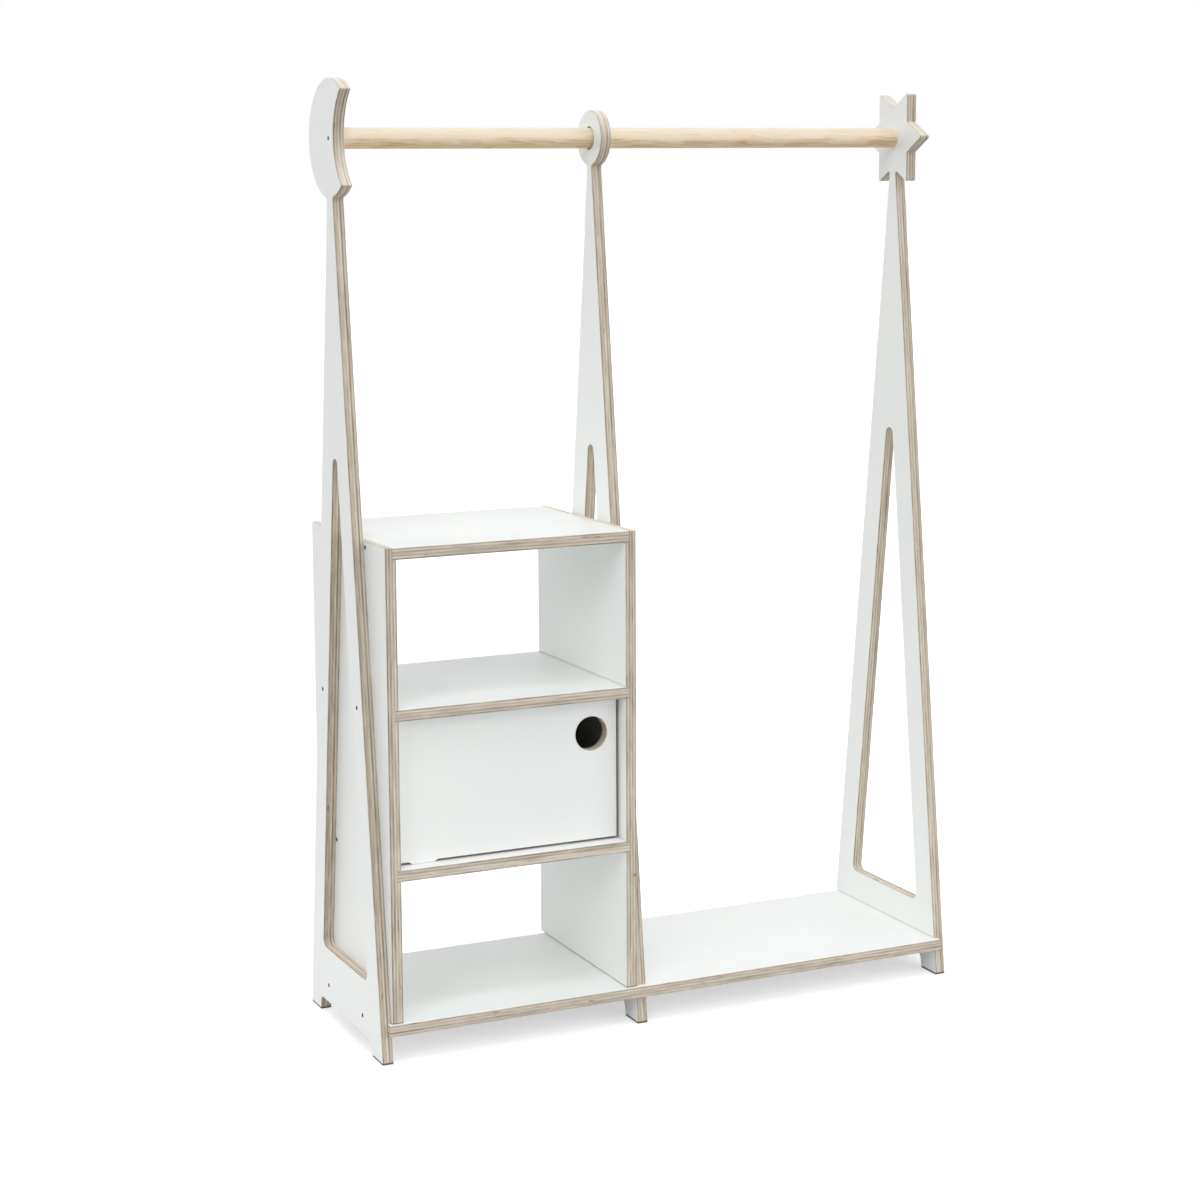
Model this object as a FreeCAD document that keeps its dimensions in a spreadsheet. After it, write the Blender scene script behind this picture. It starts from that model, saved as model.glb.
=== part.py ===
import FreeCAD, Part
import math
import os
import re
import Sketcher

os.makedirs("parts", exist_ok=True)
doc = FreeCAD.newDocument("kids_wardrobe")

# Driving sizes in millimetres. +Z is up, the front faces -Y, and the rod's axis lies over Y = 0.
SIZES = {
    "panel": 18,             # plywood of every upright, board and door
    "total_width": 1000,     # over the outer faces of the end uprights
    "ease": 1.2,             # chamfer along the plywood's edges
    "fit_gap": 0.1,          # clearance between a board and the groove it sits in
    "run_gap": 0.3,          # clearance between pieces that move past each other
    "pin_gap": 0.1,          # air around a pivot pin in its bush
    # uprights
    "foot_depth": 324,       # front of the front foot to rear of the rear foot
    "foot_length": 44,
    "glide": 2,              # pad thickness under the feet
    "glide_inset": 0.6,
    "arch_height": 23,
    "arch_slant": 4,
    "arch_round": 10,
    "neck_width": 14,        # width of the taper where it reaches the ring
    "leg_width": 48.8,       # plywood left on each side of the cut-out
    "cut_floor": 112,
    "cut_top_round": 10,
    "cut_low_round": 12,
    "neck_round": 5,
    # heads
    "moon_radius": 88.5,
    "moon_shift": 1,         # moon's centre behind the rod's axis
    "bite_radius": 90.5,
    "bite_shift": 110,       # centre of the moon's hollow ahead of the rod's axis
    "moon_tip_round": 2.5,
    "ring_radius": 42.5,
    "ring_gap": 2,           # air around the rod in the ring
    "star_radius": 84,
    "star_tip_round": 3.5,
    "notch_round": 3,
    # rod
    "rod_height": 1379,
    "rod_dia": 32,
    # base board
    "base_top": 61,
    "base_front": 166,       # ahead of the rod's axis
    "base_rear": 152,        # behind the rod's axis
    "base_dado": 7,          # depth let into the end uprights
    "lap_front": 7,          # end of the cross-halving ahead of the rod's axis
    # cabinet
    "cab_width": 410,
    "cab_front": 160,
    "cab_rear": 166,
    "cab_top": 783.5,
    "upper_top": 541,
    "lower_top": 297,
    "dado": 6,
    "relief": 1.2,           # small round reliefs at the mouth of each dado
    "back_thick": 6,
    "back_inset": 10,
    "back_groove": 4,
    # door
    "door_recess": 24,
    "door_gap": 3,           # above, below and at the pivot side
    "door_free_gap": 4.5,    # at the free side
    "pivot_offset": 45,      # pivot axis from the side board's inner face
    "tab_width": 39,
    "tab_slant": 4,
    "tab_gap": 0.4,          # under the tab, which all but rests on the lower shelf
    "finger_radius": 26.5,
    "finger_side": 43.5,
    "finger_down": 52,
    "pin_radius": 4,
    "pin_depth": 25,         # seated in the door
    "bush_wall": 2.5,
    "bush_length": 14,
    # door stop and catch
    "stop_width": 60,
    "stop_depth": 30,
    "stop_height": 18,
    "stop_side": 20,         # from the free side board
    "magnet_width": 20,
    "magnet_height": 8,
    "magnet_thick": 4,
    "plate_margin": 2,       # by which the steel plate is wider than the magnet
    "plate_thick": 1.2,
    "catch_drop": 10,        # magnet's middle below the upper shelf
    # screws
    "screw_side": 77,        # screw rows before and behind the rod's axis
    "under_side": 110,       # rows of the screws under the base board
    "shank": 1.8,
    "head": 3.5,
    "shank_gap": 0.2,
    "socket": 1.6,
    "socket_depth": 1.5,
    "short_length": 50,
    "long_length": 68,
}

# Positions that follow from the sizes.
LAYOUT = {
    "left_out": "-total_width / 2",
    "left_in": "left_out + panel",
    "right_in": "total_width / 2 - panel",
    "cab_right": "left_in + cab_width",
    "cab_mid": "left_in + cab_width / 2",
    "cab_half": "cab_width / 2",
    "inner_half": "cab_half - panel",
    "shelf_half": "inner_half + dado - fit_gap",
    "foot_half": "foot_depth / 2",
    "heel_half": "foot_half - foot_length",
    "taper": "(foot_half - neck_width / 2) / (rod_height - ring_radius - glide)",
    "rod_radius": "rod_dia / 2",
    "rod_hole": "rod_radius + ring_gap",
    "root_height": "rod_height - (ring_radius + rod_hole) / 2",
    "root_half": "foot_half - taper * (root_height - glide)",
    "cut_half": "foot_half - taper * (cut_floor - glide) - leg_width",
    "cut_apex": "glide + (foot_half - leg_width) / taper",
    "base_low": "base_top - panel",
    "base_mid": "base_top - panel / 2",
    "base_half": "right_in + base_dado - fit_gap",
    "top_mid": "cab_top - panel / 2",
    "upper_low": "upper_top - panel",
    "upper_mid": "upper_top - panel / 2",
    "lower_low": "lower_top - panel",
    "lower_mid": "lower_top - panel / 2",
    "back_rear": "cab_rear - back_inset",
    "door_face": "-cab_front + door_recess",
    "door_back": "door_face + panel",
    "door_mid": "door_face + panel / 2",
    "door_left": "door_gap - pivot_offset",
    "door_right": "inner_half * 2 - pivot_offset - door_free_gap",
    "door_low": "lower_top + door_gap",
    "door_high": "upper_low - door_gap",
    "tab_low": "lower_top + tab_gap",
    "pivot_x": "left_in + panel + pivot_offset",
    "bush_bore": "pin_radius + pin_gap",
    "bush_radius": "bush_bore + bush_wall",
    "pin_reach": "bush_length - run_gap",
    "stop_face": "door_back + run_gap",
    "stop_right": "cab_right - panel - stop_side",
    "stop_mid": "stop_right - stop_width / 2",
    "catch_height": "upper_low - catch_drop",
    "magnet_half": "magnet_width / 2",
    "magnet_rise": "magnet_height / 2",
    "plate_half": "magnet_half + plate_margin",
    "plate_rise": "magnet_rise + plate_margin",
    "screw_hole": "shank + shank_gap",
    "pilot": "short_length - panel + shank_gap",
}

sheet = doc.addObject("Spreadsheet::Sheet", "sizes")
layout = doc.addObject("Spreadsheet::Sheet", "layout")


def bound(text):
    """Turns the names in a formula into references to the two sheets."""
    def refer(found):
        name = found.group(0)
        if name in SIZES:
            return "sizes." + name
        return "layout." + name
    return re.sub(r"[a-z]\w*", refer, text)


for row, (alias, number) in enumerate(SIZES.items(), start=1):
    sheet.set(f"A{row}", alias)
    sheet.set(f"B{row}", str(number))
    sheet.setAlias(f"B{row}", alias)
for row, (alias, formula) in enumerate(LAYOUT.items(), start=1):
    layout.set(f"A{row}", alias)
    layout.setAlias(f"B{row}", alias)
    layout.set(f"B{row}", "=" + bound(formula))
doc.recompute()


def size(name):
    source = sheet if name in SIZES else layout
    return float(source.get(name))


def spokes(count):
    turn = 2 * math.pi / count
    return [(math.cos(i * turn), math.sin(i * turn)) for i in range(count)]


NEAR = 0.01
CORNER_REACH = 0.1         # how far a corner may lie from its reckoned place
STAR_POINTS = 6
SOCKET_SIDES = 6
TAPER = -45                # countersunk heads and their seats narrow inwards
SMALL_SIDES = 12           # screws and their holes are twelve-sided, which keeps the mesh light
FLANK = f"{math.cos(math.pi / SMALL_SIDES):.9f}"
nodes = []


def new_body(name, x="0", y="0", z="0"):
    """A named piece whose own origin sits at the given place."""
    body = doc.addObject("PartDesign::Body", name)
    body.AllowCompound = True
    for axis, text in zip("xyz", (x, y, z)):
        body.setExpression("Placement.Base." + axis, bound(text))
    nodes.append(body)
    return body


def origin_part(body, role):
    return next(part for part in body.Origin.OriginFeatures if part.Role == role)


def new_sketch(body, role, offset="0"):
    sketch = body.newObject("Sketcher::SketchObject", body.Name + "_sketch")
    sketch.AttachmentSupport = (origin_part(body, role), [""])
    sketch.MapMode = "FlatFace"
    sketch.setExpression("AttachmentOffset.Base.z", bound(offset))
    return sketch


def fix(sketch, kind, geometry, vertex, value, text):
    """A dimension from the sketch's origin that follows a formula."""
    index = sketch.addConstraint(Sketcher.Constraint(kind, -1, 1, geometry, vertex, value))
    sketch.setExpression(f"Constraints[{index}]", bound(text))


def polygon(sketch, corners):
    count = len(corners)
    first = sketch.GeometryCount
    turn = [2 * math.pi * i / count for i in range(count)]
    ring = [FreeCAD.Vector(math.cos(angle), math.sin(angle), 0) for angle in turn]
    for i in range(count):
        sketch.addGeometry(Part.LineSegment(ring[i], ring[(i + 1) % count]))
    for i in range(count):
        sketch.addConstraint(Sketcher.Constraint("Coincident", first + i, 2, first + (i + 1) % count, 1))
    for i, (across, up) in enumerate(corners):
        fix(sketch, "DistanceX", first + i, 1, ring[i].x, across)
        fix(sketch, "DistanceY", first + i, 1, ring[i].y, up)


def rectangle(sketch, left, low, right, high):
    polygon(sketch, [(left, low), (right, low), (right, high), (left, high)])


def circle(sketch, across, up, radius):
    unit = Part.Circle(FreeCAD.Vector(1, 1, 0), FreeCAD.Vector(0, 0, 1), 1)
    index = sketch.addGeometry(unit)
    fix(sketch, "DistanceX", index, 3, 1, across)
    fix(sketch, "DistanceY", index, 3, 1, up)
    rule = sketch.addConstraint(Sketcher.Constraint("Radius", index, 1))
    sketch.setExpression(f"Constraints[{rule}]", bound(radius))


def regular(sketch, across, up, radius, corners):
    """A polygon with its corners on some of a circle's spokes."""
    polygon(sketch, [(f"{across} + {c:.9f} * {radius}", f"{up} + {s:.9f} * {radius}") for c, s in corners])


def small_round(sketch, across, up, radius):
    regular(sketch, across, up, radius, spokes(SMALL_SIDES))


def volume(body):
    doc.recompute()
    return body.Shape.Volume


def pad(body, sketch, length, taper=0):
    feature = body.newObject("PartDesign::Pad", body.Name + "_pad")
    feature.Profile = sketch
    feature.TaperAngle = taper
    feature.setExpression("Length", bound(length))
    doc.recompute()


def pocket(body, sketch, depth=None, forward=False, taper=0):
    """Cuts to a depth, along the sketch's normal if forward, or right through if no depth is given."""
    before = volume(body)
    feature = body.newObject("PartDesign::Pocket", body.Name + "_pocket")
    feature.Profile = sketch
    if depth is None:
        feature.Type = "ThroughAll"
        feature.SideType = "Symmetric"
    else:
        feature.setExpression("Length", bound(depth))
        feature.Reversed = forward
        feature.TaperAngle = taper
    if volume(body) > before - NEAR:
        raise ValueError("nothing cut from " + body.Name)
    return feature


def dress(body, kind, width, wanted):
    """Rounds or chamfers the edges that the test picks from the piece as it stands."""
    doc.recompute()
    base = body.Tip
    names = [f"Edge{i}" for i, edge in enumerate(base.Shape.Edges, start=1) if wanted(edge)]
    if not names:
        raise ValueError("no edge found on " + body.Name)
    feature = body.newObject("PartDesign::" + kind, body.Name + "_" + kind.lower())
    feature.Base = (base, names)
    feature.setExpression("Radius" if kind == "Fillet" else "Size", bound(width))
    doc.recompute()


def flat_at(edge, axis, places):
    """True when the whole edge lies in one of the planes across the axis."""
    box = edge.BoundBox
    low, high = {"x": (box.XMin, box.XMax), "y": (box.YMin, box.YMax), "z": (box.ZMin, box.ZMax)}[axis]
    return any(abs(low - place) < NEAR and abs(high - place) < NEAR for place in places)


def crosswise(edge):
    """The (y, z) of a straight edge that runs along X, or None."""
    if not isinstance(edge.Curve, (Part.Line, Part.LineSegment)):
        return None
    box = edge.BoundBox
    if box.YMax - box.YMin > NEAR or box.ZMax - box.ZMin > NEAR:
        return None
    return box.YMin, box.ZMin


def corner_at(*places):
    """Test for crosswise edges at the given (y, z) places."""
    def wanted(edge):
        here = crosswise(edge)
        return here is not None and any(math.dist(here, place) < CORNER_REACH for place in places)
    return wanted


def on_circle(y, up, radius, shift=0):
    """True for a place on a circle whose centre lies that far behind the rod's axis."""
    return abs(math.hypot(y - shift, up) - radius) < NEAR


def head_corner(rule):
    """Test for crosswise edges around a head, by their (y, height) from the rod's axis."""
    def wanted(edge):
        here = crosswise(edge)
        return here is not None and rule(here[0], here[1] - size("rod_height"))
    return wanted


def ease_faces(body, axis, places):
    dress(body, "Chamfer", "ease", lambda edge: flat_at(edge, axis, places))


def mirror(body, feature=None):
    """Repeats a cut, or with no feature the whole piece, on the other side of the piece's own YZ plane."""
    twin = body.newObject("PartDesign::Mirrored", body.Name + "_mirror")
    twin.MirrorPlane = (origin_part(body, "YZ_Plane"), [""])
    if feature is None:
        twin.TransformMode = "Whole shape"
    else:
        twin.Originals = [feature]
    body.Tip = twin
    doc.recompute()


def repeat(body, role, length):
    """A second copy of the whole piece at a distance along one of its axes."""
    pattern = body.newObject("PartDesign::LinearPattern", body.Name + "_pattern")
    pattern.TransformMode = "Whole shape"
    pattern.Direction = (origin_part(body, role), [""])
    pattern.Occurrences = 2
    pattern.setExpression("Length", bound(length))
    body.Tip = pattern
    doc.recompute()


def screw_holes(body, role, face, places, forward):
    """Holes right through, opened at one face for screw heads set flush."""
    holes = new_sketch(body, role, face)
    seats = new_sketch(body, role, face)
    for across, up in places:
        small_round(holes, across, up, "screw_hole")
        small_round(seats, across, up, "head")
    pocket(body, holes)
    pocket(body, seats, f"(head - screw_hole) * {FLANK}", forward, TAPER)


def pilot_holes(body, role, start, places, depth, forward):
    """Blind holes for the shanks of screws that end in this piece."""
    holes = new_sketch(body, role, start)
    for across, up in places:
        small_round(holes, across, up, "screw_hole")
    return pocket(body, holes, depth, forward)


# Uprights. Each one stands in its own YZ plane, its left face at x = 0 of the piece.
def upright(name, x):
    """The tapered blank that all three share, with feet and arch."""
    body = new_body(name, x)
    outline = new_sketch(body, "YZ_Plane")
    half = [("foot_half", "glide"), ("heel_half", "glide"), ("heel_half - arch_slant", "arch_height")]
    right = [("root_half", "root_height")] + half
    left = [(f"-({across})", up) for across, up in reversed(right)]
    polygon(outline, right + left)
    pad(body, outline, "panel")
    return body


def finish_upright(body):
    """Cut-out with legs of even width, rounded corners and eased edges."""
    opening = new_sketch(body, "YZ_Plane")
    polygon(opening, [("-cut_half", "cut_floor"), ("cut_half", "cut_floor"), ("0", "cut_apex")])
    pocket(body, opening)
    low = size("cut_half"), size("cut_floor")
    arch = size("heel_half") - size("arch_slant"), size("arch_height")
    dress(body, "Fillet", "cut_top_round", corner_at((0, size("cut_apex"))))
    dress(body, "Fillet", "cut_low_round", corner_at(low, (-low[0], low[1])))
    dress(body, "Fillet", "arch_round", corner_at(arch, (-arch[0], arch[1])))
    ease_faces(body, "x", (0, size("panel")))


def base_groove(body, mouth, floor):
    """Dado for the base board's end, with a relief at each edge of its mouth."""
    groove = new_sketch(body, "XZ_Plane")
    rectangle(groove, floor, "base_low - fit_gap", mouth, "base_top + fit_gap")
    pocket(body, groove)
    reliefs = new_sketch(body, "XZ_Plane")
    circle(reliefs, mouth, "base_low - fit_gap", "relief")
    circle(reliefs, mouth, "base_top + fit_gap", "relief")
    pocket(body, reliefs)


SIDE_ROWS = ("screw_side", "-screw_side")
UNDER_ROWS = ("under_side", "-under_side")
LEG_SCREWS = [(row, "upper_mid") for row in SIDE_ROWS]
BASE_SCREWS = [(row, "base_mid") for row in SIDE_ROWS]
ROD_SCREW = [("0", "rod_height")]

moon = upright("moon_frame", "left_out")
disc = new_sketch(moon, "YZ_Plane")
circle(disc, "moon_shift", "rod_height", "moon_radius")
pad(moon, disc, "panel")
bite = new_sketch(moon, "YZ_Plane")
circle(bite, "-bite_shift", "rod_height", "bite_radius")
pocket(moon, bite)


def on_moon(y, up):
    return on_circle(y, up, size("moon_radius"), size("moon_shift"))


dress(moon, "Fillet", "moon_tip_round",
      head_corner(lambda y, up: on_moon(y, up) and y < -size("rod_dia")))
dress(moon, "Fillet", "neck_round",
      head_corner(lambda y, up: on_moon(y, up) and y > -size("rod_dia") and up < -size("rod_dia")))
finish_upright(moon)
base_groove(moon, "panel", "panel - base_dado")
screw_holes(moon, "YZ_Plane", "0", LEG_SCREWS + BASE_SCREWS + ROD_SCREW, forward=True)

ring = upright("ring_frame", "cab_right")
disc = new_sketch(ring, "YZ_Plane")
circle(disc, "0", "rod_height", "ring_radius")
pad(ring, disc, "panel")
dress(ring, "Fillet", "neck_round",
      head_corner(lambda y, up: on_circle(y, up, size("ring_radius")) and up < -size("rod_hole")))
finish_upright(ring)
eye = new_sketch(ring, "YZ_Plane")
circle(eye, "0", "rod_height", "rod_hole")
pocket(ring, eye)
lap = new_sketch(ring, "YZ_Plane")
rectangle(lap, "-foot_depth", "base_low - fit_gap", "-lap_front", "base_top + fit_gap")
pocket(ring, lap)
screw_holes(ring, "YZ_Plane", "panel", LEG_SCREWS, forward=False)

star = upright("star_frame", "right_in")
for first in (0, 1):
    points = new_sketch(star, "YZ_Plane")
    regular(points, "0", "rod_height", "star_radius", spokes(STAR_POINTS)[first::2])
    pad(star, points, "panel")
dress(star, "Fillet", "notch_round",
      head_corner(lambda y, up: math.hypot(y, up) < size("star_radius") - NEAR))
dress(star, "Fillet", "star_tip_round",
      head_corner(lambda y, up: on_circle(y, up, size("star_radius"))))
finish_upright(star)
base_groove(star, "0", "base_dado")
screw_holes(star, "YZ_Plane", "panel", BASE_SCREWS + ROD_SCREW, forward=False)


# Hanging rod between the moon and the star, through the ring.
rod = new_body("hanging_rod", z="rod_height")
section = new_sketch(rod, "YZ_Plane", "-right_in")
circle(section, "0", "0", "rod_radius")
pad(rod, section, "right_in * 2")
mirror(rod, pilot_holes(rod, "YZ_Plane", "-right_in", [("0", "0")], "pilot", forward=True))


# Base board, let into the end uprights and halved across the middle one.
def ease_long(body, front, rear):
    """Eases the edges that run along X at the board's front and rear."""
    def wanted(edge):
        box = edge.BoundBox
        return flat_at(edge, "y", (-front, rear)) and box.ZMax - box.ZMin < NEAR
    dress(body, "Chamfer", "ease", wanted)


def end_holes(body, half, middle, depth):
    """Pilot holes for the screws in both ends of a board."""
    places = [(row, middle) for row in SIDE_ROWS]
    mirror(body, pilot_holes(body, "YZ_Plane", f"-({half})", places, depth, forward=True))


base = new_body("base_board")
outline = new_sketch(base, "XY_Plane", "base_low")
rectangle(outline, "-base_half", "-base_front", "base_half", "base_rear")
pad(base, outline, "panel")
ease_faces(base, "z", (size("base_low"), size("base_top")))
end_holes(base, "base_half", "base_mid", "pilot + base_dado")
lap = new_sketch(base, "XY_Plane", "base_low")
rectangle(lap, "cab_right - fit_gap", "-lap_front - fit_gap",
          "cab_right + panel + fit_gap", "base_rear * 2")
pocket(base, lap)
UNDER_SCREWS = [(x, row) for x in ("left_in + panel / 2", "cab_right - panel / 2") for row in UNDER_ROWS]
screw_holes(base, "XY_Plane", "base_low", UNDER_SCREWS, forward=True)


# Cabinet sides. Each is one section with its dados, drawn out from rear to front.
def side_board(name, x, sign):
    body = new_body(name, x)
    face = f"{sign} * panel"
    floor = f"{sign} * (panel - dado)"
    corners = [("0", "base_top"), (face, "base_top")]
    mouths = []
    for low, high in (("lower_low", "lower_top"), ("upper_low", "upper_top")):
        low = low + " - fit_gap"
        high = high + " + fit_gap"
        corners += [(face, low), (floor, low), (floor, high), (face, high)]
        mouths += [low, high]
    seat = "cab_top - panel - fit_gap"
    corners += [(face, seat), (floor, seat), (floor, "cab_top"), ("0", "cab_top")]
    mouths.append(seat)
    section = new_sketch(body, "XZ_Plane", "-cab_rear")
    polygon(section, corners)
    pad(body, section, "cab_front + cab_rear")

    def arris(edge):
        """Upright edges at front and rear, both edges along the base and the outer edge along the top."""
        box = edge.BoundBox
        on_face = flat_at(edge, "x", (0, sign * size("panel")))
        upright_edge = flat_at(edge, "y", (-size("cab_front"), size("cab_rear")))
        along_base = flat_at(edge, "z", [size("base_top")])
        along_top = flat_at(edge, "x", [0]) and flat_at(edge, "z", [size("cab_top")])
        return along_top or on_face and (along_base or upright_edge and box.ZMax - box.ZMin > size("panel"))

    dress(body, "Chamfer", "ease", arris)
    reliefs = new_sketch(body, "XZ_Plane")
    for mouth in mouths:
        circle(reliefs, face, mouth, "relief")
    pocket(body, reliefs)
    groove = new_sketch(body, "YZ_Plane", face)
    rectangle(groove, "back_rear - back_thick - fit_gap", "lower_top", "back_rear + fit_gap", "upper_low")
    pocket(body, groove, "back_groove", forward=sign < 0)
    screw_holes(body, "YZ_Plane", "0", [(row, up) for row in SIDE_ROWS for up in ("lower_mid", "top_mid")],
                forward=sign > 0)
    through = new_sketch(body, "YZ_Plane")
    for across, up in LEG_SCREWS:
        small_round(through, across, up, "screw_hole")
    pocket(body, through)
    feet = [(f"{sign} * panel / 2", row) for row in UNDER_ROWS]
    pilot_holes(body, "XY_Plane", "base_top", feet, "pilot", forward=True)


side_board("cabinet_left_side", "left_in", 1)
side_board("cabinet_right_side", "cab_right", -1)


# Top and shelves between the sides.
def shelf_board(name, low, middle, depth):
    body = new_body(name, "cab_mid")
    outline = new_sketch(body, "XY_Plane", low)
    rectangle(outline, "-shelf_half", "-cab_front", "shelf_half", "cab_rear")
    pad(body, outline, "panel")
    ease_long(body, size("cab_front"), size("cab_rear"))
    end_holes(body, "shelf_half", middle, depth)
    return body


shelf_board("cabinet_top", "cab_top - panel", "top_mid", "pilot + dado")
upper = shelf_board("upper_shelf", "upper_low", "upper_mid", "long_length - panel * 2 + dado + shank_gap")
lower = shelf_board("lower_shelf", "lower_low", "lower_mid", "pilot + dado")
for shelf, surface, rising in ((upper, "upper_low", True), (lower, "lower_top", False)):
    bore = new_sketch(shelf, "XY_Plane", surface)
    circle(bore, "pivot_x - cab_mid", "door_mid", "bush_radius")
    pocket(shelf, bore, "bush_length", forward=rising)

back = new_body("back_panel", "cab_mid")
sheet_edge = "inner_half + back_groove - fit_gap"
outline = new_sketch(back, "XZ_Plane", "-back_rear")
rectangle(outline, f"-({sheet_edge})", "lower_top + fit_gap", sheet_edge, "upper_low - fit_gap")
pad(back, outline, "back_thick")


# Door, hung on two pins. Its own origin lies on the pivot axis.
door = new_body("door_panel", "pivot_x")
outline = new_sketch(door, "XZ_Plane", "-door_back")
polygon(outline, [
    ("door_left", "door_low"),
    ("-tab_width / 2 - tab_slant", "door_low"),
    ("-tab_width / 2", "tab_low"),
    ("tab_width / 2", "tab_low"),
    ("tab_width / 2 + tab_slant", "door_low"),
    ("door_right", "door_low"),
    ("door_right", "door_high"),
    ("door_left", "door_high"),
])
circle(outline, "door_right - finger_side", "door_high - finger_down", "finger_radius")
pad(door, outline, "panel")
dress(door, "Chamfer", "ease", lambda edge: flat_at(edge, "y", (size("door_face"), size("door_back")))
      and not flat_at(edge, "z", [size("tab_low")]))
for surface, rising in (("tab_low", True), ("door_high", False)):
    bore = new_sketch(door, "XY_Plane", surface)
    circle(bore, "0", "door_mid", "pin_radius")
    pocket(door, bore, "pin_depth", forward=rising)
recess = new_sketch(door, "XZ_Plane", "-door_back")
rectangle(recess, "stop_mid - pivot_x - plate_half", "catch_height - plate_rise",
          "stop_mid - pivot_x + plate_half", "catch_height + plate_rise")
pocket(door, recess, "plate_thick", forward=True)

pins = new_body("pivot_pins", "pivot_x", "door_mid")
for low, length in (("lower_top - pin_reach", "tab_low + pin_depth - lower_top + pin_reach"),
                    ("door_high - pin_depth", "pin_depth + upper_low - door_high + pin_reach")):
    section = new_sketch(pins, "XY_Plane", low)
    circle(section, "0", "0", "pin_radius")
    pad(pins, section, length)

bushes = new_body("pivot_bushes", "pivot_x", "door_mid")
for low in ("lower_top - bush_length", "upper_low"):
    section = new_sketch(bushes, "XY_Plane", low)
    circle(section, "0", "0", "bush_radius")
    circle(section, "0", "0", "bush_bore")
    pad(bushes, section, "bush_length")


# Stop block glued under the upper shelf, with a bar magnet that meets a steel plate in the door.
stop = new_body("door_stop", "stop_mid")
outline = new_sketch(stop, "XY_Plane", "upper_low - stop_height")
rectangle(outline, "-stop_width / 2", "stop_face", "stop_width / 2", "stop_face + stop_depth")
pad(stop, outline, "stop_height")
seat = new_sketch(stop, "XZ_Plane", "-stop_face")
rectangle(seat, "-magnet_half", "catch_height - magnet_rise", "magnet_half", "catch_height + magnet_rise")
pocket(stop, seat, "magnet_thick")


def catch_piece(name, rear, half, rise, thick):
    body = new_body(name, "stop_mid", z="catch_height")
    face = new_sketch(body, "XZ_Plane", f"-({rear})")
    rectangle(face, f"-{half}", f"-{rise}", half, rise)
    pad(body, face, thick)


catch_piece("catch_magnet", "stop_face + magnet_thick", "magnet_half", "magnet_rise", "magnet_thick")
catch_piece("catch_plate", "door_back", "plate_half", "plate_rise", "plate_thick")


# Countersunk screws with a hexagon socket, along X or upwards from the place of their head.
def screw(body, start, length, rising=False):
    role = "XY_Plane" if rising else "YZ_Plane"
    shank = new_sketch(body, role, start)
    small_round(shank, "0", "0", "shank")
    pad(body, shank, length)
    head = new_sketch(body, role, start)
    small_round(head, "0", "0", "head")
    pad(body, head, f"(head - shank) * {FLANK}", TAPER)
    socket = new_sketch(body, role, start)
    regular(socket, "0", "0", "socket", spokes(SOCKET_SIDES))
    pocket(body, socket, "socket_depth", forward=True)


tips = new_body("rod_screws", z="rod_height")
screw(tips, "left_out", "short_length")
mirror(tips)

ends = new_body("base_screws", y="-screw_side", z="base_mid")
screw(ends, "left_out", "short_length")
repeat(ends, "Y_Axis", "screw_side * 2")
mirror(ends)

sides = new_body("cabinet_screws", "cab_mid", "-screw_side", "lower_mid")
screw(sides, "-cab_half", "short_length")
repeat(sides, "Y_Axis", "screw_side * 2")
repeat(sides, "Z_Axis", "top_mid - lower_mid")
mirror(sides)

legs = new_body("frame_screws", "cab_mid", "-screw_side", "upper_mid")
screw(legs, "-cab_half - panel", "long_length")
repeat(legs, "Y_Axis", "screw_side * 2")
mirror(legs)

under = new_body("underside_screws", "left_in + panel / 2", "-under_side")
screw(under, "base_low", "short_length", rising=True)
repeat(under, "Y_Axis", "under_side * 2")
repeat(under, "X_Axis", "cab_width - panel")


# Thin pads under the six feet.
glides = new_body("foot_glides")
outline = new_sketch(glides, "XY_Plane")
for x in ("left_out", "cab_right", "right_in"):
    for near, far in (("-foot_half", "-heel_half"), ("heel_half", "foot_half")):
        rectangle(outline, f"{x} + glide_inset", f"{near} + glide_inset",
                  f"{x} + panel - glide_inset", f"{far} - glide_inset")
pad(glides, outline, "glide")

# Every object must have recomputed cleanly before the pieces are written.
doc.recompute()
for item in doc.Objects:
    if "Invalid" in item.State or "Error" in item.State:
        raise ValueError("bad state: " + item.Label)
for body in nodes:
    if body.Shape.isNull() or not body.Shape.isValid() or not body.Shape.Solids:
        raise ValueError("bad shape: " + body.Label)
    body.Shape.exportStep(f"parts/{body.Label}.step")
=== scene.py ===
import math

import bpy
from mathutils import Matrix, Vector


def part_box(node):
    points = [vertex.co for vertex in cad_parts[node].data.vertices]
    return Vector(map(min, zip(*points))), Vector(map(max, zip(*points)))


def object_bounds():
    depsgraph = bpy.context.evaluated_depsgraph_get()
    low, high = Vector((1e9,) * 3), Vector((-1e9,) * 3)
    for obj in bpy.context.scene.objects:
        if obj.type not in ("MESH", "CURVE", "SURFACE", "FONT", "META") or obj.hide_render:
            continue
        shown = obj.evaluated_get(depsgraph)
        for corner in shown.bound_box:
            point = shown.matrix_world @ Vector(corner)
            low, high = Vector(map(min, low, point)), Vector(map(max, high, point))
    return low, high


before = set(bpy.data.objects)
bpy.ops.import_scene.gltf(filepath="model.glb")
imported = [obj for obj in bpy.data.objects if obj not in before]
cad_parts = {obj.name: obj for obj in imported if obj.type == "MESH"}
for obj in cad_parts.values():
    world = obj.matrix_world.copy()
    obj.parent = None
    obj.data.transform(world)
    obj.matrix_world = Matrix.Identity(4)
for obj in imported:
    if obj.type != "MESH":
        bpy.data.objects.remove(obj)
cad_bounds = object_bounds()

X_AXIS, Y_AXIS, Z_AXIS = range(3)
MM = 0.001


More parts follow.
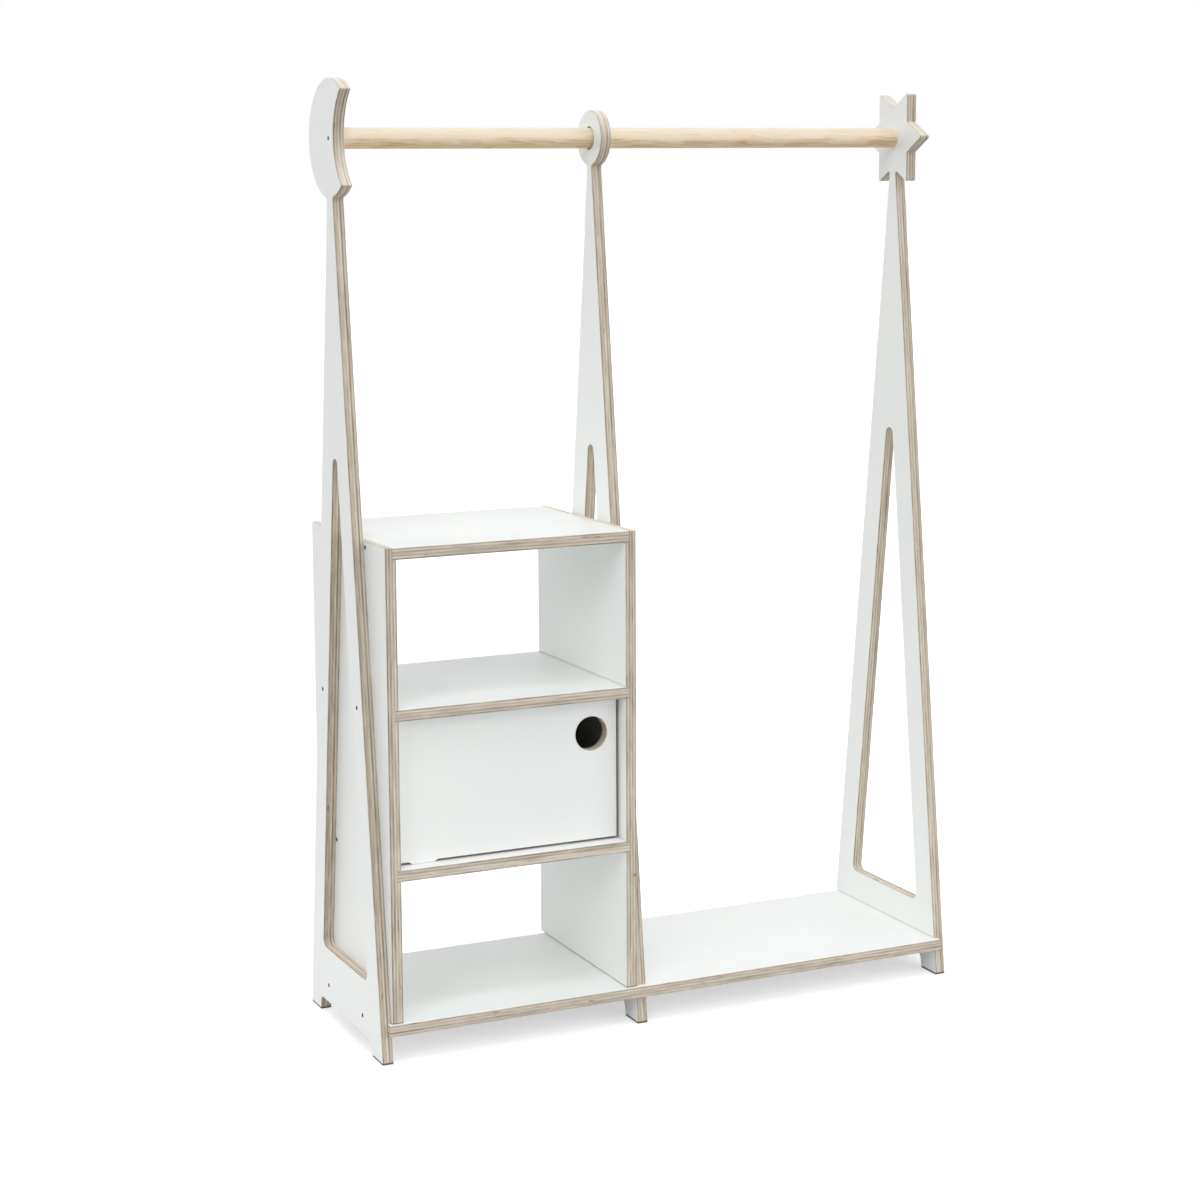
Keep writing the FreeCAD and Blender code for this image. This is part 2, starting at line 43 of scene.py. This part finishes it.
def srgb(red, green, blue):
    """A colour as a screen shows it, 0 to 255, turned into the linear values that a shader takes."""
    def linear(value):
        share = value / 255
        if share <= 0.04045:
            return share / 12.92
        return ((share + 0.055) / 1.055) ** 2.4
    return (linear(red), linear(green), linear(blue), 1.0)


# Colours of the finishes
BLACK = srgb(0, 0, 0)
WHITE = srgb(255, 255, 255)
LAMINATE_LIGHT = srgb(248, 250, 248)
LAMINATE_SHADE = srgb(244, 247, 245)
PLY_LIGHT = srgb(239, 233, 221)
PLY_MIDDLE = srgb(204, 193, 176)
PLY_DARK = srgb(148, 135, 118)
# Dark of the knots, also used for the painted shade along the foot of an upright board
PLY_KNOT_AND_SHADE = srgb(112, 97, 82)
PINE_LIGHT = srgb(250, 236, 211)
PINE_MIDDLE = srgb(241, 219, 181)
PINE_DARK = srgb(221, 188, 135)
PINE_LATE = srgb(196, 150, 98)
STEEL_DARK = srgb(24, 23, 22)
STEEL_WORN = srgb(46, 44, 42)
STEEL_BRIGHT = srgb(205, 205, 202)
STEEL_DULL = srgb(168, 168, 166)
# Dark back board: painted shade, so that the closed bay looks black through the finger hole
BACK_SHADE_DARK = srgb(42, 40, 38)
BACK_SHADE_FLECK = srgb(58, 55, 51)
MAGNET_GREY = srgb(58, 58, 60)
MAGNET_LIGHT = srgb(84, 84, 86)
BUSH_WHITE = srgb(228, 227, 222)
BUSH_SHADE = srgb(206, 205, 199)
# Dark grey felt glides, whose darkness also stands in for the contact shadow under each foot
FELT_AND_SHADOW_GREY = srgb(92, 90, 86)
FELT_AND_SHADOW_LIGHT = srgb(132, 129, 123)

# Sockets of a mix node that mixes colours
MIX_FACTOR = 0
MIX_FIRST = 6
MIX_SECOND = 7
MIX_RESULT = 2

# Noise with finer lumps in it than usual
FINE = {"detail": 3.0, "roughness": 0.6}


class Shader:
    """A material and short calls that add nodes to its tree."""

    def __init__(self, name):
        self.material = bpy.data.materials.new(name)
        self.material.use_nodes = True
        self.tree = self.material.node_tree
        self.surface = self.tree.nodes["Principled BSDF"]
        place = self.add("ShaderNodeTexCoord")
        self.place = place.outputs["Object"]
        self.normal = place.outputs["Normal"]

    def add(self, kind, *values, **settings):
        """A node of that kind, its settings and its inputs in order."""
        node = self.tree.nodes.new(kind)
        for key, value in settings.items():
            setattr(node, key, value)
        for socket, value in zip(node.inputs, values):
            self.feed(socket, value)
        return node

    def feed(self, socket, value):
        """Links an output to the socket, or sets the socket to a plain value."""
        if isinstance(value, bpy.types.NodeSocket):
            self.tree.links.new(value, socket)
        else:
            socket.default_value = value

    def math(self, operation, *values):
        return self.add("ShaderNodeMath", *values, operation=operation).outputs[0]

    def vector(self, operation, *values):
        return self.add("ShaderNodeVectorMath", *values, operation=operation).outputs[0]

    def length(self, vector):
        return self.add("ShaderNodeVectorMath", vector, operation="LENGTH").outputs["Value"]

    def part(self, vector, axis):
        return self.add("ShaderNodeSeparateXYZ", vector).outputs[axis]

    def noise(self, vector, detail=2.0, roughness=0.5):
        """Soft noise, 0 to 1, with one lump to each unit of the vector."""
        node = self.add("ShaderNodeTexNoise")
        self.feed(node.inputs["Vector"], vector)
        self.feed(node.inputs["Scale"], 1.0)
        self.feed(node.inputs["Detail"], detail)
        self.feed(node.inputs["Roughness"], roughness)
        return node.outputs[0]

    def stretched(self, axis, on_axis, off_axis, shift=0.0):
        """The place, scaled to so many lumps of noise per metre on one axis and on the other two."""
        scale = [off_axis] * 3
        scale[axis] = on_axis
        moved = self.vector("ADD", self.place, (shift, shift, shift))
        return self.vector("MULTIPLY", moved, tuple(scale))

    def ramp(self, factor, *stops):
        """A colour ramp through (place, colour) stops."""
        node = self.add("ShaderNodeValToRGB", factor)
        points = node.color_ramp.elements
        while len(points) < len(stops):
            points.new(1.0)
        for point, (place, colour) in zip(points, stops):
            point.position = place
            point.color = colour
        return node.outputs[0]

    def mix(self, factor, first, second):
        node = self.add("ShaderNodeMix", data_type="RGBA")
        self.feed(node.inputs[MIX_FACTOR], factor)
        self.feed(node.inputs[MIX_FIRST], first)
        self.feed(node.inputs[MIX_SECOND], second)
        return node.outputs[MIX_RESULT]

    def between(self, factor, low, high):
        """A number that runs from low to high as the factor runs from 0 to 1."""
        return self.math("MULTIPLY_ADD", factor, high - low, low)

    def bump(self, height, strength, distance):
        node = self.add("ShaderNodeBump")
        self.feed(node.inputs["Strength"], strength)
        self.feed(node.inputs["Distance"], distance)
        self.feed(node.inputs["Height"], height)
        self.feed(self.surface.inputs["Normal"], node.outputs[0])

    def finish(self, colour, roughness):
        self.feed(self.surface.inputs["Base Color"], colour)
        self.feed(self.surface.inputs["Roughness"], roughness)
        return self.material


# Laminated plywood: its plies, its skin, the band of painted shade along an upright board's foot, and
# where a face counts as laminate
PLIES = 7
HALF = 0.5
SKIN = 0.45 * MM
FOOT_SHADE_BAND = 1.3 * MM
FACE_FROM = 0.9

# Lumps of each pattern per metre along the board, and per ply through it
WANDER_LUMPS = 7.0
STREAK_LUMPS = 15.0
FIBRE_LUMPS = 50.0
FIBRES_PER_PLY = 2.5
KNOT_LUMPS = 34.0
KNOTS_PER_PLY = 0.6
PEEL_LUMPS = 750.0
MOTTLE_LUMPS = 5.0

# How far a ply wanders, as a share of the board, and how far apart two plies' streaks are taken
PLY_WANDER = 0.04
LANE_STEP = 2.7

# What each pattern adds to the tone, and the ramps that turn tones into colours
DARK_PLY = -0.13
LIGHT_PLY = 0.08
OWN_TONE = 0.12
STREAK_TONE = (0.02, 0.98)
FIBRE_TONE = 0.12
OUTER_DARKER = 0.1
# Painted highlight on sawn faces that look up: its strength at the floor and its rise per metre of
# height
TOP_HIGHLIGHT_AT_FLOOR = 0.12
TOP_HIGHLIGHT_PER_METRE = 0.28
PLY_RAMP = ((0.08, PLY_DARK), (0.5, PLY_MIDDLE), (0.92, PLY_LIGHT))
KNOT_RAMP = ((0.73, BLACK), (0.8, WHITE))
LAMINATE_RAMP = ((0.3, LAMINATE_SHADE), (0.7, LAMINATE_LIGHT))

# Gloss and relief
LAMINATE_ROUGH = (0.38, 0.5)
PLY_ROUGH = (0.72, 0.58)
PEEL_RELIEF = 0.12
BOARD_BUMP = 0.25
BOARD_DEPTH = 0.3 * MM


def ply_edge(shader, axis, middle, thick, shift, shade):
    """Colour, tone and depth of a sawn edge: light and dark plies in turn, streaked, with a few knots.

    The outermost plies are darker. Sawn faces that look up get a painted highlight, the stronger the
    higher they are.
    The shade is the board's own. The depth runs from -0.5 to 0.5 through the board.
    """
    per_ply = PLIES / thick
    across = shader.part(shader.place, axis)
    depth = shader.math("DIVIDE", shader.math("SUBTRACT", across, middle), thick)
    wander = shader.noise(shader.stretched(axis, 0.0, WANDER_LUMPS, shift))
    level = shader.math("ADD", depth, shader.between(wander, HALF - PLY_WANDER, HALF + PLY_WANDER))
    ply = shader.math("FLOOR", shader.math("MULTIPLY", level, PLIES))
    turn = shader.math("PINGPONG", ply, 1.0)
    own = shader.add("ShaderNodeTexWhiteNoise", noise_dimensions="1D")
    shader.feed(own.inputs["W"], shader.math("ADD", ply, shift))
    lane = shader.add("ShaderNodeCombineXYZ")
    shader.feed(lane.inputs[axis], shader.math("MULTIPLY", ply, LANE_STEP))
    run = shader.vector("ADD", shader.stretched(axis, 0.0, STREAK_LUMPS, shift), lane.outputs[0])
    streak = shader.noise(run, **FINE)
    fibre = shader.noise(shader.stretched(axis, FIBRES_PER_PLY * per_ply, FIBRE_LUMPS, shift))
    tone = shader.between(turn, DARK_PLY - shade, LIGHT_PLY - shade)
    tone = shader.math("ADD", tone, shader.between(own.outputs["Value"], -OWN_TONE, OWN_TONE))
    tone = shader.math("ADD", tone, shader.between(streak, *STREAK_TONE))
    tone = shader.math("ADD", tone, shader.between(fibre, -FIBRE_TONE, FIBRE_TONE))
    outer = shader.math("GREATER_THAN", shader.math("ABSOLUTE", depth), HALF - 1 / PLIES)
    tone = shader.math("MULTIPLY_ADD", outer, -OUTER_DARKER, tone)
    # Painted highlight: sawn faces that look up are made paler, the more so the higher they stand
    rise = shader.math("MAXIMUM", shader.part(shader.normal, Z_AXIS), 0.0)
    height = shader.part(shader.place, Z_AXIS)
    painted_highlight = shader.math("MULTIPLY_ADD", height, TOP_HIGHLIGHT_PER_METRE, TOP_HIGHLIGHT_AT_FLOOR)
    tone = shader.math("MULTIPLY_ADD", rise, painted_highlight, tone)
    wood = shader.ramp(tone, *PLY_RAMP)
    knot = shader.noise(shader.stretched(axis, KNOTS_PER_PLY * per_ply, KNOT_LUMPS, shift), detail=1.0)
    return shader.mix(shader.ramp(knot, *KNOT_RAMP), wood, PLY_KNOT_AND_SHADE), tone, depth


def plywood(name, node, axis, shift, shade):
    """White laminate on the faces square to the axis, bare plies on every edge.

    An upright board has painted shade along its foot: the dark line where it meets what it stands on.
    """
    shader = Shader(name)
    low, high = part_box(node)
    thick = high[axis] - low[axis]
    middle = (low[axis] + high[axis]) / 2
    edge, tone, depth = ply_edge(shader, axis, middle, thick, shift, shade)
    mottle = shader.noise(shader.stretched(axis, MOTTLE_LUMPS, MOTTLE_LUMPS, shift), detail=3.0)
    peel = shader.noise(shader.stretched(axis, PEEL_LUMPS, PEEL_LUMPS, shift), detail=1.0)
    facing = shader.math("ABSOLUTE", shader.part(shader.normal, axis))
    on_face = shader.math("GREATER_THAN", facing, FACE_FROM)
    in_skin = shader.math("GREATER_THAN", shader.math("ABSOLUTE", depth), HALF - SKIN / thick)
    laminate = shader.math("MAXIMUM", on_face, in_skin)
    relief = shader.mix(laminate, tone, shader.math("MULTIPLY", peel, PEEL_RELIEF))
    shader.bump(relief, BOARD_BUMP, BOARD_DEPTH)
    colour = shader.mix(laminate, edge, shader.ramp(mottle, *LAMINATE_RAMP))
    # Painted shade along the foot of an upright board, in the dark colour of the knots
    if axis == X_AXIS:
        foot = shader.math("LESS_THAN", shader.part(shader.place, Z_AXIS), low[Z_AXIS] + FOOT_SHADE_BAND)
        colour = shader.mix(foot, colour, PLY_KNOT_AND_SHADE)
    dull = shader.between(tone, *PLY_ROUGH)
    smooth = shader.between(peel, *LAMINATE_ROUGH)
    return shader.finish(colour, shader.mix(laminate, dull, smooth))


# Turned pine: the pith's place beside the wood, the width of a year's ring, and the rings' sway
PITH_SIDE = 26 * MM
PITH_DROP = 52 * MM
RING_GAP = 8.5 * MM
RING_SWAY = 16 * MM

# Lumps per metre along and across the grain, and a shift that keeps the patterns apart
SWAY_GRAIN = (8.0, 96.0, 0.7)
FIBRE_GRAIN = (14.0, 1100.0, 0.3)
FLECK_GRAIN = (30.0, 420.0, 2.3)
BAND_GRAIN = (11.0, 33.0, 1.9)

# The painted shade on the lower side, in radii below the middle, and how far its upper edge sways;
# above it a painted sheen makes the wood paler
LOW_FROM = -0.2
LOW_FULL = 0.7
BAND_SWAY = 0.9

# Tones, streaks, gloss and relief
LOW_SHADE_TONE = (0.04, 0.66)
PINE_FIBRE_TONE = 0.25
FLECK_STREAK = (-0.4, 1.9)
LOW_STREAK = (0.16, 0.75)
LATE_RAMP = ((0.0, WHITE), (0.1, BLACK), (0.55, BLACK), (0.97, WHITE))
PINE_RAMP = ((0.05, PINE_LIGHT), (0.45, PINE_MIDDLE), (0.95, PINE_DARK))
PINE_ROUGH = (0.4, 0.54)
PINE_BUMP = 0.2
PINE_DEPTH = 0.2 * MM


def pine(name, node):
    """Growth rings that run along the wood and sway, with fibres and flecks. A painted sheen makes the
    top paler and painted shade the lower side darker.
    """
    shader = Shader(name)
    low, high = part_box(node)
    centre = (low + high) / 2
    radius = (high.z - low.z) / 2
    pith = (0, centre.y + PITH_SIDE, centre.z - PITH_DROP)
    from_pith = shader.vector("SUBTRACT", shader.place, pith)
    away = shader.length(shader.vector("MULTIPLY", from_pith, (0, 1, 1)))
    sway = shader.noise(shader.stretched(X_AXIS, *SWAY_GRAIN))
    fibre = shader.noise(shader.stretched(X_AXIS, *FIBRE_GRAIN))
    fleck = shader.noise(shader.stretched(X_AXIS, *FLECK_GRAIN))
    band = shader.noise(shader.stretched(X_AXIS, *BAND_GRAIN), **FINE)
    wave = shader.math("ADD", away, shader.between(sway, -RING_SWAY, RING_SWAY))
    ring = shader.math("FRACT", shader.math("DIVIDE", wave, RING_GAP))
    below = shader.math("SUBTRACT", centre.z, shader.part(shader.place, Z_AXIS))
    drop = shader.math("DIVIDE", below, radius)
    edge = shader.math("ADD", drop, shader.between(band, -BAND_SWAY, BAND_SWAY))
    # Painted shade on the lower side, painted sheen on the upper; the late-wood streaks are stronger in
    # the shade
    fade = shader.add("ShaderNodeMapRange", edge, LOW_FROM, LOW_FULL, interpolation_type="SMOOTHSTEP")
    painted_low_shade = fade.outputs[0]
    tone = shader.between(painted_low_shade, *LOW_SHADE_TONE)
    tone = shader.math("ADD", tone, shader.between(fibre, -PINE_FIBRE_TONE, PINE_FIBRE_TONE))
    late = shader.ramp(ring, *LATE_RAMP)
    streak = shader.math("MULTIPLY", late, shader.between(fleck, *FLECK_STREAK))
    streak = shader.math("MULTIPLY", streak, shader.between(painted_low_shade, *LOW_STREAK))
    shader.bump(fibre, PINE_BUMP, PINE_DEPTH)
    colour = shader.mix(streak, shader.ramp(tone, *PINE_RAMP), PINE_LATE)
    return shader.finish(colour, shader.between(fibre, *PINE_ROUGH))


# Finishes of the small pieces: two close tones, lumps of tone per metre, and the mean roughness
FINISHES = {
    # The dark back board stands in for the shade inside the closed bay
    "back_board": {"dark": BACK_SHADE_DARK, "light": BACK_SHADE_FLECK, "lumps": 400.0, "rough": 0.75},
    "burnished_steel": {"dark": STEEL_DARK, "light": STEEL_WORN, "lumps": 900.0, "rough": 0.5,
                        "shine": 0.12},
    "bright_steel": {"dark": STEEL_DULL, "light": STEEL_BRIGHT, "lumps": 700.0, "rough": 0.3,
                     "metal": 1.0, "axis": Z_AXIS, "off_axis": 80.0},
    "magnet_ferrite": {"dark": MAGNET_GREY, "light": MAGNET_LIGHT, "lumps": 1500.0, "rough": 0.55},
    "bush_nylon": {"dark": BUSH_SHADE, "light": BUSH_WHITE, "lumps": 350.0, "rough": 0.4},
    # Felt glides, dark partly as painted contact shadow under each foot
    "glide_felt_and_shadow": {"dark": FELT_AND_SHADOW_GREY, "light": FELT_AND_SHADOW_LIGHT, "lumps": 1800.0, "rough": 0.95,
                   "bump": 0.6},
}
GRAIN_STOPS = (0.3, 0.7)
GRAIN_DEPTH = 0.2 * MM
ROUGH_SPREAD = 0.08


def grainy(name, dark, light, lumps, rough, metal=0.0, bump=0.1, axis=X_AXIS, off_axis=None, shine=0.5):
    """Two tones in lumps, or in brushed lines where the lumps off the axis differ from those on it."""
    shader = Shader(name)
    tone = shader.noise(shader.stretched(axis, lumps, off_axis or lumps), **FINE)
    colour = shader.ramp(tone, *zip(GRAIN_STOPS, (dark, light)))
    shader.surface.inputs["Metallic"].default_value = metal
    shader.surface.inputs["Specular IOR Level"].default_value = shine
    shader.bump(tone, bump, GRAIN_DEPTH)
    return shader.finish(colour, shader.between(tone, rough - ROUGH_SPREAD, rough + ROUGH_SPREAD))


# The axis square to each board's faces, and how much darker than usual its plies are
PANELS = {
    "moon_frame": (X_AXIS, 0.08),
    "ring_frame": (X_AXIS, 0.06),
    "star_frame": (X_AXIS, 0.04),
    "cabinet_left_side": (X_AXIS, 0.1),
    "cabinet_right_side": (X_AXIS, 0.0),
    "base_board": (Z_AXIS, 0.0),
    "cabinet_top": (Z_AXIS, 0.0),
    "upper_shelf": (Z_AXIS, -0.04),
    "lower_shelf": (Z_AXIS, 0.0),
    "door_panel": (Y_AXIS, 0.05),
}

# How far apart in the noise the boards' patterns are taken
SHIFT_STEP = 3.7

# The other nodes and the names of their finishes
PINE_NODES = {"hanging_rod": "rod_pine", "door_stop": "stop_pine"}
FINISH_OF = {
    "back_panel": "back_board",
    "rod_screws": "burnished_steel",
    "base_screws": "burnished_steel",
    "cabinet_screws": "burnished_steel",
    "frame_screws": "burnished_steel",
    "underside_screws": "burnished_steel",
    "pivot_pins": "bright_steel",
    "catch_plate": "bright_steel",
    "catch_magnet": "magnet_ferrite",
    "pivot_bushes": "bush_nylon",
    "foot_glides": "glide_felt_and_shadow",
}


def dress(node, material):
    """Gives a CAD node its finish."""
    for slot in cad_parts[node].material_slots:
        slot.material = material


def dress_all():
    for number, (node, (axis, shade)) in enumerate(PANELS.items()):
        dress(node, plywood(f"{node}_plywood", node, axis, number * SHIFT_STEP, shade))
    for node, name in PINE_NODES.items():
        dress(node, pine(name, node))
    finishes = {name: grainy(name, **values) for name, values in FINISHES.items()}
    for node, name in FINISH_OF.items():
        dress(node, finishes[name])


# The photograph's camera, in metres, degrees and pixels of its square frame, on a sensor in millimetres
PHOTO_SIDE = 1200
CAMERA_PLACE = Vector((-1.70549, -3.41844, 1.30725))
CAMERA_YAW = 23.819
CAMERA_PITCH = -7.982
CAMERA_ROLL = -0.532
FOCAL_PIXELS = 2407.56
AXIS_PIXEL = (519.12, 522.91)
SENSOR = 36.0


def make_camera():
    yaw, pitch, roll = (math.radians(angle) for angle in (CAMERA_YAW, CAMERA_PITCH, CAMERA_ROLL))
    reach = math.cos(pitch)
    forward = Vector((math.sin(yaw) * reach, math.cos(yaw) * reach, math.sin(pitch)))
    level = Vector((math.cos(yaw), -math.sin(yaw), 0))
    upright = level.cross(forward)
    right = level * math.cos(roll) + upright * math.sin(roll)
    up = upright * math.cos(roll) - level * math.sin(roll)
    lens = bpy.data.cameras.new("photo_camera")
    lens.sensor_width = SENSOR
    lens.lens = FOCAL_PIXELS / PHOTO_SIDE * SENSOR
    lens.shift_x = 0.5 - AXIS_PIXEL[0] / PHOTO_SIDE
    lens.shift_y = AXIS_PIXEL[1] / PHOTO_SIDE - 0.5
    camera = bpy.data.objects.new("photo_camera", lens)
    turn = Matrix((right, up, -forward)).transposed().to_4x4()
    camera.matrix_world = Matrix.Translation(CAMERA_PLACE) @ turn
    bpy.context.scene.collection.objects.link(camera)
    bpy.context.scene.camera = camera


# The floor, and the distances from the object over which its grey falls off
FLOOR_REACH = 60.0
FLOOR_ROUGH = 0.9
FLOOR_NEAR = 0.9
FLOOR_FAR = 2.4
NEAR_GREY = 0.72
FAR_GREY = 0.36

# The levels that the floor is lifted to, in front of the object and from a little way behind on
FRONT_WHITE = 1.19
REAR_WHITE = 1.36
REAR_FROM = 0.3

# The studio: four suns and an even sky, with a dark room behind the camera. Its edge and core are
# cosines of the angle from its centre.
SKY_LIGHT = 0.69
ROOM_CENTRE = Vector((-0.42, -0.88, 0.21))
ROOM_EDGE = 0.8
ROOM_CORE = 0.94
ROOM_LIGHT = 0.08
LAMPS = {
    "key": {"from": (-0.15, -0.33, 0.93), "power": 0.38, "angle": 12},
    "left": {"from": (-0.65, -0.54, 0.54), "power": 0.63, "angle": 30},
    "right": {"from": (0.64, -0.75, 0.15), "power": 1.05, "angle": 60},
    "rear": {"from": (-0.3, 0.9, 0.3), "power": 0.5, "angle": 60},
}


def seen_directly(tree):
    """1 on rays that come from the camera, a mirror or a clear pane, and 0 on the rest."""
    path = tree.nodes.new("ShaderNodeLightPath")
    total = path.outputs["Is Camera Ray"]
    for kind in ("Is Glossy Ray", "Is Transmission Ray"):
        either = tree.nodes.new("ShaderNodeMath")
        either.operation = "MAXIMUM"
        tree.links.new(total, either.inputs[0])
        tree.links.new(path.outputs[kind], either.inputs[1])
        total = either.outputs[0]
    return total


def make_floor():
    """A pale floor at the feet. Seen directly it is lifted to white, and its shadow stays."""
    level = cad_bounds[0][Z_AXIS]
    signs = ((-1, -1), (1, -1), (1, 1), (-1, 1))
    corners = [(x * FLOOR_REACH, y * FLOOR_REACH, level) for x, y in signs]
    mesh = bpy.data.meshes.new("floor")
    mesh.from_pydata(corners, [], [(0, 1, 2, 3)])
    floor = bpy.data.objects.new("floor", mesh)
    bpy.context.scene.collection.objects.link(floor)
    shader = Shader("pale_floor")
    shader.surface.inputs["Specular IOR Level"].default_value = 0.0
    shader.surface.inputs["Emission Color"].default_value = WHITE
    away = shader.length(shader.place)
    grey = shader.add("ShaderNodeMapRange", away, FLOOR_NEAR, FLOOR_FAR, NEAR_GREY, FAR_GREY).outputs[0]
    behind = shader.part(shader.place, Y_AXIS)
    white = shader.add("ShaderNodeMapRange", behind, 0.0, REAR_FROM, FRONT_WHITE, REAR_WHITE).outputs[0]
    lift = shader.math("MULTIPLY", seen_directly(shader.tree), shader.math("SUBTRACT", white, grey))
    shader.feed(shader.surface.inputs["Emission Strength"], lift)
    mesh.materials.append(shader.finish(grey, FLOOR_ROUGH))


def make_sky():
    """A white sky, dimmed where the room behind the camera is. Seen directly it is all white."""
    world = bpy.data.worlds.new("studio")
    bpy.context.scene.world = world
    world.use_nodes = True
    tree = world.node_tree
    sky = tree.nodes["Background"]
    sky.inputs["Color"].default_value = WHITE
    toward = tree.nodes.new("ShaderNodeVectorMath")
    toward.operation = "DOT_PRODUCT"
    tree.links.new(tree.nodes.new("ShaderNodeTexCoord").outputs["Generated"], toward.inputs[0])
    toward.inputs[1].default_value = ROOM_CENTRE.normalized()
    level = tree.nodes.new("ShaderNodeMapRange")
    tree.links.new(toward.outputs["Value"], level.inputs[0])
    for socket, value in zip(level.inputs[1:], (ROOM_EDGE, ROOM_CORE, SKY_LIGHT, ROOM_LIGHT)):
        socket.default_value = value
    strength = tree.nodes.new("ShaderNodeMath")
    strength.operation = "MAXIMUM"
    tree.links.new(seen_directly(tree), strength.inputs[0])
    tree.links.new(level.outputs[0], strength.inputs[1])
    tree.links.new(strength.outputs[0], sky.inputs["Strength"])


def make_lamps():
    for name, kind in LAMPS.items():
        lamp = bpy.data.lights.new(name, "SUN")
        lamp.energy = kind["power"]
        lamp.angle = math.radians(kind["angle"])
        holder = bpy.data.objects.new(name, lamp)
        holder.rotation_euler = Vector(kind["from"]).to_track_quat("Z", "Y").to_euler()
        bpy.context.scene.collection.objects.link(holder)


dress_all()
make_camera()
make_floor()
make_sky()
make_lamps()
bpy.context.scene.view_settings.view_transform = "Standard"
